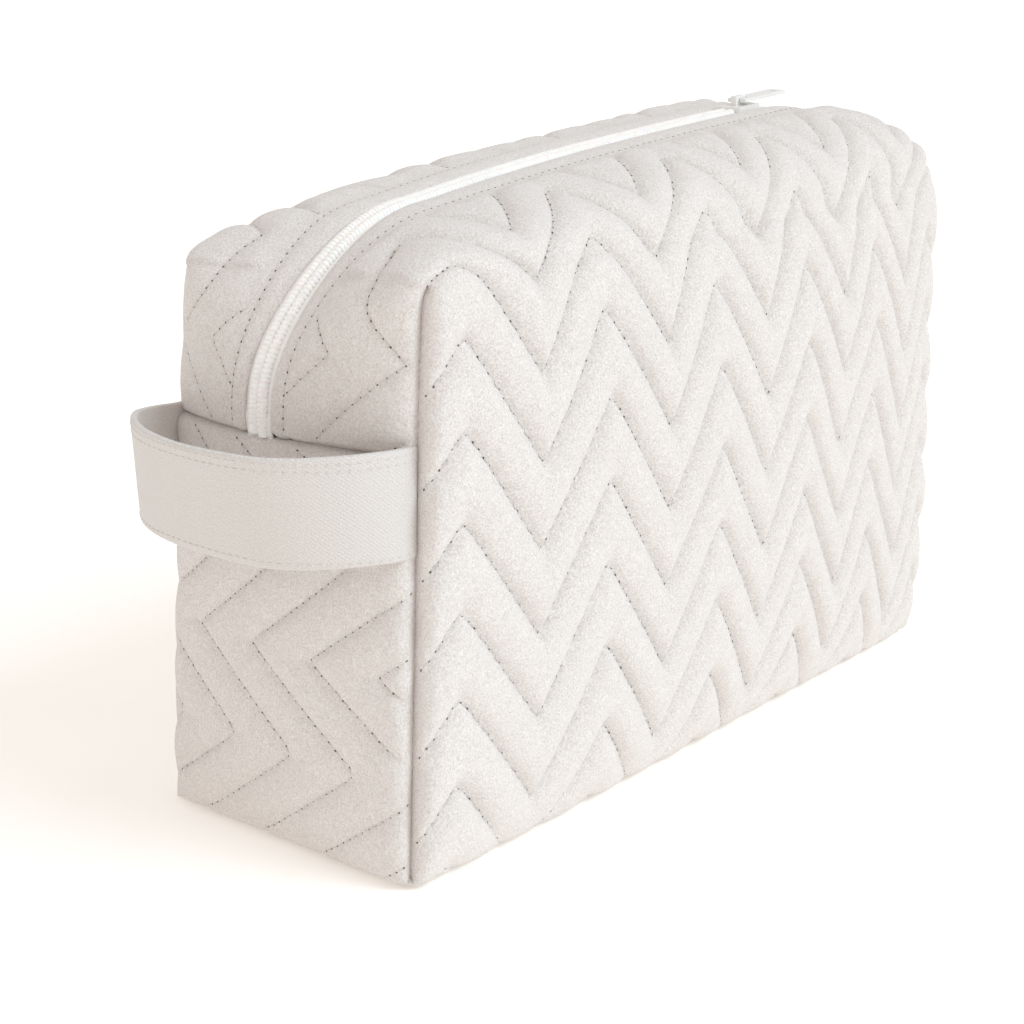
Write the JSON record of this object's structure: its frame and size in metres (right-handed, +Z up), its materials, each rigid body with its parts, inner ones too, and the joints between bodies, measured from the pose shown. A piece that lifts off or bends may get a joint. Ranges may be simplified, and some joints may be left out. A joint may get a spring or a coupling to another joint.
{
  "type": "makeup bag",
  "caption": "Boxy quilted fabric makeup bag with a zipped top that folds over both ends and a carrying strap sewn across one end.",
  "frame": {"origin": "centre of the bag's footprint, on the surface it stands on, between the two end panels", "axes": "+X along the bag's length away from the strap, +Y towards the back face, +Z up"},
  "size_m": [0.2576, 0.102, 0.1657],
  "materials": {
    "brushed_velvet": "soft brushed nap, quilted",
    "polyester_wadding": "loose bonded fibre",
    "lining_fabric": "smooth plain weave",
    "binding_tape": "plain weave bias tape",
    "strap_fabric": "fine diagonal twill with a satin sheen",
    "zipper_tape": "woven herringbone tape",
    "zipper_coil": "glossy nylon coil",
    "zipper_metal": "smooth semi-gloss enamel"
  },
  "bodies": {
    "bag_base": {"face_fabric_base": "brushed_velvet", "wadding_base": "polyester_wadding", "lining_base": "lining_fabric", "corner_binding_base_near_front": "binding_tape", "corner_binding_base_near_back": "binding_tape", "corner_binding_base_far_front": "binding_tape", "corner_binding_base_far_back": "binding_tape", "end_seam_binding_near": "binding_tape", "end_seam_binding_far": "binding_tape", "strap_tail_front": "strap_fabric", "strap_tail_back": "strap_fabric"},
    "mouth_front": {"face_fabric_front": "brushed_velvet", "wadding_front": "polyester_wadding", "lining_front": "lining_fabric", "zipper_tape_front": "zipper_tape", "zipper_coil_front": "zipper_coil", "corner_binding_mouth_near_front": "binding_tape", "corner_binding_mouth_far_front": "binding_tape"},
    "mouth_back": {"face_fabric_back": "brushed_velvet", "wadding_back": "polyester_wadding", "lining_back": "lining_fabric", "zipper_tape_back": "zipper_tape", "zipper_coil_back": "zipper_coil", "corner_binding_mouth_near_back": "binding_tape", "corner_binding_mouth_far_back": "binding_tape"},
    "strap": {"strap_loop": "strap_fabric"},
    "slider": {"slider_body": "zipper_metal", "slider_bail": "zipper_metal"},
    "pull": {"pull_tab": "zipper_metal"}
  },
  "joints": [
    {"name": "mouth_front_open", "type": "hinge", "parent": "bag_base", "child": "mouth_front", "pos_m": [0, -0.051, 0.101], "axis": [1, 0, 0], "range_deg": [0, 30], "deforming": ["zipper_tape_front", "zipper_coil_front", "corner_binding_mouth_near_front", "corner_binding_mouth_far_front"]},
    {"name": "mouth_back_open", "type": "hinge", "parent": "bag_base", "child": "mouth_back", "pos_m": [0, 0.051, 0.101], "axis": [-1, 0, 0], "range_deg": [0, 30], "deforming": ["zipper_tape_back", "zipper_coil_back", "corner_binding_mouth_near_back", "corner_binding_mouth_far_back"]},
    {"name": "zipper_slide", "type": "slide", "parent": "mouth_back", "child": "slider", "axis": [-0.9979, 0, -0.0648], "range_m": [0, 0.142]},
    {"name": "pull_swing", "type": "hinge", "parent": "slider", "child": "pull", "pos_m": [0.07072, 0, 0.16385], "axis": [0, -1, 0], "range_deg": [0, 175]},
    {"name": "strap_lift", "type": "hinge", "parent": "bag_base", "child": "strap", "pos_m": [-0.119, 0, 0.088], "axis": [0, 1, 0], "range_deg": [-15, 15], "stiffness_Nm_per_rad": 0.02, "deforming": ["strap_tail_front", "strap_tail_back"]}
  ]
}
